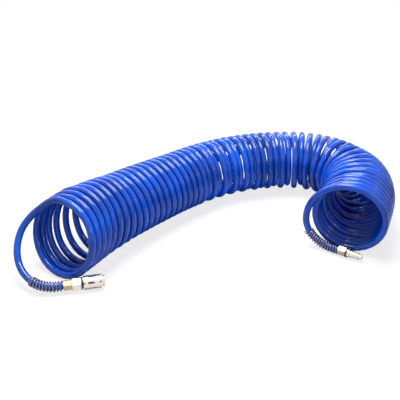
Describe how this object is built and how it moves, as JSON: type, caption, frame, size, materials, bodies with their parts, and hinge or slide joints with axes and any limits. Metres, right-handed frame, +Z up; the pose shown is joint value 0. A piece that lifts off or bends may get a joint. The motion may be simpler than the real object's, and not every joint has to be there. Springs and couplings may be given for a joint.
{
  "type": "coiled air hose",
  "caption": "Coiled blue air hose with spring guards and brass nuts at both ends, a quick coupler socket with a sliding sleeve, and a nipple plug.",
  "frame": {"origin": "centre of the bounding box on the floor, under the bent coil", "axes": "X runs along the longest extent from the socket's mouth of the coil to its bend, Y away from the side that both fittings lie on, Z up"},
  "size_m": [0.6728, 0.4324, 0.1338],
  "materials": {
    "hose_blue": "glossy translucent blue polyurethane",
    "guard_steel": "dark spring steel wire",
    "brass": "turned brass",
    "nickel": "bright nickel plating",
    "black_rubber": "matt black rubber",
    "black_ring": "black plastic",
    "spring_steel": "bright spring steel",
    "ball_steel": "polished hard steel"
  },
  "bodies": {
    "hose": {"hose_coil": "hose_blue", "socket_tail": "hose_blue", "plug_tail": "hose_blue", "socket_spring_guard": "guard_steel", "socket_clamp_nut": "brass", "socket_tailpiece": "nickel", "tailpiece_seal": "black_rubber", "socket_body": "nickel", "sleeve_spring": "spring_steel", "sleeve_stop_ring": "guard_steel", "plug_packing_seal": "black_rubber", "valve_spring": "spring_steel", "plug_spring_guard": "guard_steel", "plug_clamp_nut": "brass", "plug_collar_ring": "black_ring", "plug_nipple": "nickel"},
    "sleeve": {"release_sleeve": "nickel"},
    "valve": {"valve_poppet": "brass", "valve_seal": "black_rubber"},
    "ball_1": {"locking_ball_1": "ball_steel"},
    "ball_2": {"locking_ball_2": "ball_steel"},
    "ball_3": {"locking_ball_3": "ball_steel"},
    "ball_4": {"locking_ball_4": "ball_steel"},
    "ball_5": {"locking_ball_5": "ball_steel"},
    "ball_6": {"locking_ball_6": "ball_steel"}
  },
  "joints": [
    {"name": "sleeve_slide", "type": "slide", "parent": "hose", "child": "sleeve", "axis": [-0.9744, -0.225, 0], "range_m": [0, 0.0032], "stiffness_N_per_m": 800, "springref_m": -0.006, "deforming": ["sleeve_spring"]},
    {"name": "valve_slide", "type": "slide", "parent": "hose", "child": "valve", "axis": [-0.9744, -0.225, 0], "range_m": [0, 0.0032], "stiffness_N_per_m": 300, "springref_m": -0.006, "deforming": ["valve_spring"]},
    {"name": "ball_1_slide", "type": "slide", "parent": "hose", "child": "ball_1", "axis": [-0.1125, 0.4872, -0.866], "range_m": [0, 0.00125]},
    {"name": "ball_2_slide", "type": "slide", "parent": "hose", "child": "ball_2", "axis": [-0.225, 0.9744, 0], "range_m": [0, 0.00125]},
    {"name": "ball_3_slide", "type": "slide", "parent": "hose", "child": "ball_3", "axis": [-0.1125, 0.4872, 0.866], "range_m": [0, 0.00125]},
    {"name": "ball_4_slide", "type": "slide", "parent": "hose", "child": "ball_4", "axis": [0.1125, -0.4872, 0.866], "range_m": [0, 0.00125]},
    {"name": "ball_5_slide", "type": "slide", "parent": "hose", "child": "ball_5", "axis": [0.225, -0.9744, 0], "range_m": [0, 0.00125]},
    {"name": "ball_6_slide", "type": "slide", "parent": "hose", "child": "ball_6", "axis": [0.1125, -0.4872, -0.866], "range_m": [0, 0.00125]}
  ],
  "couplings": [
    {"joint": "ball_1_slide", "follows": "sleeve_slide", "ratio": 0.39062},
    {"joint": "ball_2_slide", "follows": "sleeve_slide", "ratio": 0.39062},
    {"joint": "ball_3_slide", "follows": "sleeve_slide", "ratio": 0.39062},
    {"joint": "ball_4_slide", "follows": "sleeve_slide", "ratio": 0.39062},
    {"joint": "ball_5_slide", "follows": "sleeve_slide", "ratio": 0.39062},
    {"joint": "ball_6_slide", "follows": "sleeve_slide", "ratio": 0.39062}
  ]
}
